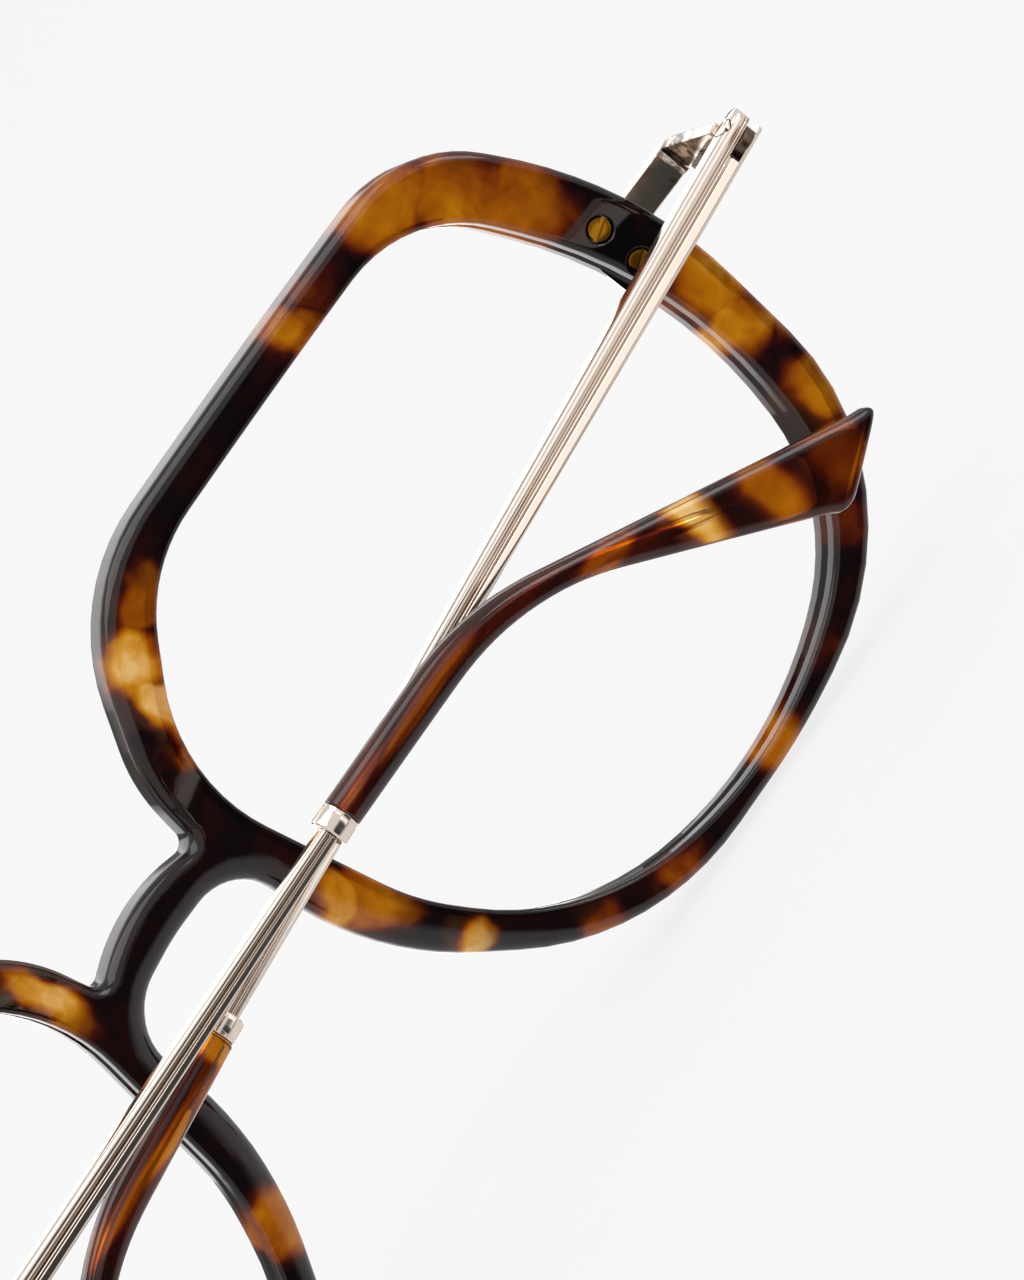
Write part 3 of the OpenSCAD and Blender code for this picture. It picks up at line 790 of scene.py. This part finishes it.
METAL = []
for side in SIDES:
    temple = side + "_temple"
    bar = fluted_bar(side)
    core_wire(bar)
    ring = bmesh.new()
    turned(ring, FERRULE_TURNING, BAR_END, 48)
    for made in (bar, ring):
        bmesh.ops.transform(made, matrix=hinge_place(side), verts=made.verts)
        bmesh.ops.recalc_face_normals(made, faces=made.faces[:])
    sign = SIDES[side]["sign"]
    screws = joined([rim_screw(sign, 1, 18), rim_screw(sign, -1, 22)])
    METAL += [
        finished(bar, side + "_fluted_bar", temple, champagne, [side + "_temple_bar"]),
        finished(ring, side + "_ring_ferrule", temple, champagne, [side + "_ferrule"]),
        finished(endpiece(sign), side + "_endpiece_strap", "front", shaded_strap_plate, [side + "_endpiece"]),
        eased(side + "_knuckle_leaf", side + "_hinge_leaf", "front", shade_dark_leaf_steel, 0.06),
        finished(screws, side + "_slotted_rim_screws", "front", brass, [side + "_rim_screws"]),
        eased(side + "_pivot_screw", side + "_hinge_screw", temple, champagne, 0.04),
    ]

# ---- stage, light and camera ----


def stage_piece(name, bm, material):
    mesh = bpy.data.meshes.new(name)
    bm.to_mesh(mesh)
    bm.free()
    mesh.materials.append(material)
    obj = bpy.data.objects.new(name, mesh)
    bpy.context.scene.collection.objects.link(obj)
    return obj


opal, _, opal_shader = new_material("opal_light_table")
opal_shader.inputs["Base Color"].default_value = colour("5A5A5A")
opal_shader.inputs["Roughness"].default_value = 0.9
opal_shader.inputs["Specular IOR Level"].default_value = 0.0
opal_shader.inputs["Emission Color"].default_value = colour("FFFFFF")
opal_shader.inputs["Emission Strength"].default_value = 0.8
bm = bmesh.new()
bmesh.ops.create_grid(bm, x_segments=2, y_segments=2, size=3.4)
bmesh.ops.translate(bm, verts=bm.verts, vec=(0, 0, cad_low[2] - 0.0005))
floor = stage_piece("floor", bm, opal)
floor.visible_glossy = False

wall_mat, _, wall_shader = new_material("white_backdrop_cloth")
wall_shader.inputs["Base Color"].default_value = colour("000000")
wall_shader.inputs["Emission Color"].default_value = colour("FFFFFF")
wall_shader.inputs["Emission Strength"].default_value = 0.93
bm = bmesh.new()
bmesh.ops.create_icosphere(bm, subdivisions=4, radius=3.0)
backdrop = stage_piece("backdrop", bm, wall_mat)
backdrop.visible_glossy = False
backdrop.visible_diffuse = False
backdrop.visible_shadow = False


def soft_box(name, place, aim, size, power):
    light = bpy.data.lights.new(name, "AREA")
    light.shape = "RECTANGLE"
    light.size, light.size_y = size
    light.energy = power
    obj = bpy.data.objects.new(name, light)
    obj.location = place
    obj.rotation_euler = (Vector(aim) - Vector(place)).to_track_quat("-Z", "Y").to_euler()
    obj.visible_camera = False
    bpy.context.scene.collection.objects.link(obj)
    return obj


# places and sizes in metres, power in watts
soft_box("overhead_soft_box", (0.1, 0.1, 0.9), (0, 0, 0), (1.0, 0.8), 5)
soft_box("side_soft_box", (-0.8, 0.7, 0.5), (0, 0, 0), (0.6, 0.5), 3)
temple_strip = soft_box("temple_strip_light", (-0.36, 0.56, -0.17), (-0.36, 0, -0.17), (0.46, 0.5), 0.8)
plated_pieces = bpy.data.collections.new("plated_pieces")
for piece in METAL:
    plated_pieces.objects.link(piece)
temple_strip.light_linking.receiver_collection = plated_pieces
temple_strip.light_linking.blocker_collection = plated_pieces

# what the metal mirrors: a white room, a dark flag on the wearer's side, bright panels ahead above and below
world = bpy.data.worlds.new("studio")
bpy.context.scene.world = world
world.use_nodes = True
tree = world.node_tree
tree.nodes["Background"].inputs[0].default_value = (1, 1, 1, 1)
heading = node(tree, "ShaderNodeTexCoord").outputs["Generated"]
from_flag = node(tree, "ShaderNodeVectorMath", {"operation": "SUBTRACT"}, {0: heading, 1: (-0.06, 0.94, -0.3)})
squeezed = node(tree, "ShaderNodeVectorMath", {"operation": "MULTIPLY"},
                {0: from_flag.outputs[0], 1: (1.6, 1.0, 2.6)})
away = node(tree, "ShaderNodeVectorMath", {"operation": "LENGTH"}, {0: squeezed.outputs[0]})
light = node(tree, "ShaderNodeMapRange", {"interpolation_type": "SMOOTHSTEP"},
             {"Value": away.outputs["Value"], "From Min": 0.7, "From Max": 1.4, "To Min": 0.05, "To Max": 0.8})
axes = node(tree, "ShaderNodeSeparateXYZ", {}, {0: heading})
rise = node(tree, "ShaderNodeMath", {"operation": "ABSOLUTE"}, {0: axes.outputs["Z"]})
off_level = node(tree, "ShaderNodeMapRange", {"interpolation_type": "SMOOTHSTEP"},
                 {"Value": rise.outputs[0], "From Min": 0.1, "From Max": 0.22})
ahead = node(tree, "ShaderNodeMapRange", {"interpolation_type": "SMOOTHSTEP"},
             {"Value": axes.outputs["Y"], "From Min": -0.55, "From Max": -0.85, "To Max": 1.5})
panels = node(tree, "ShaderNodeMath", {"operation": "MULTIPLY"}, {0: off_level.outputs[0], 1: ahead.outputs[0]})
dimmed = node(tree, "ShaderNodeMapRange", {"interpolation_type": "SMOOTHSTEP"},
              {"Value": axes.outputs["Y"], "From Min": -0.4, "From Max": -0.8, "To Min": 1.0, "To Max": 0.3})
rest = node(tree, "ShaderNodeMath", {"operation": "MULTIPLY"}, {0: light.outputs[0], 1: dimmed.outputs[0]})
total = node(tree, "ShaderNodeMath", {"operation": "ADD"}, {0: rest.outputs[0], 1: panels.outputs[0]})
tree.links.new(total.outputs[0], tree.nodes["Background"].inputs[1])

EYE = Vector((104.8, 469.2, 137.95)) * MM
AIM = Vector((-37.986, 0, -14.27)) * MM
ROLL = math.radians(-52.81)
cam = bpy.data.cameras.new("camera")
cam.sensor_width = 36
cam.lens = 173.3
cam.clip_start = 0.01
cam.clip_end = 50.0
cam_obj = bpy.data.objects.new("camera", cam)
bpy.context.scene.collection.objects.link(cam_obj)
look = (AIM - EYE).to_track_quat("-Z", "Y").to_matrix().to_4x4()
cam_obj.matrix_world = Matrix.Translation(EYE) @ look @ Matrix.Rotation(ROLL, 4, "Z")
bpy.context.scene.camera = cam_obj
bpy.context.scene.view_settings.view_transform = "Standard"
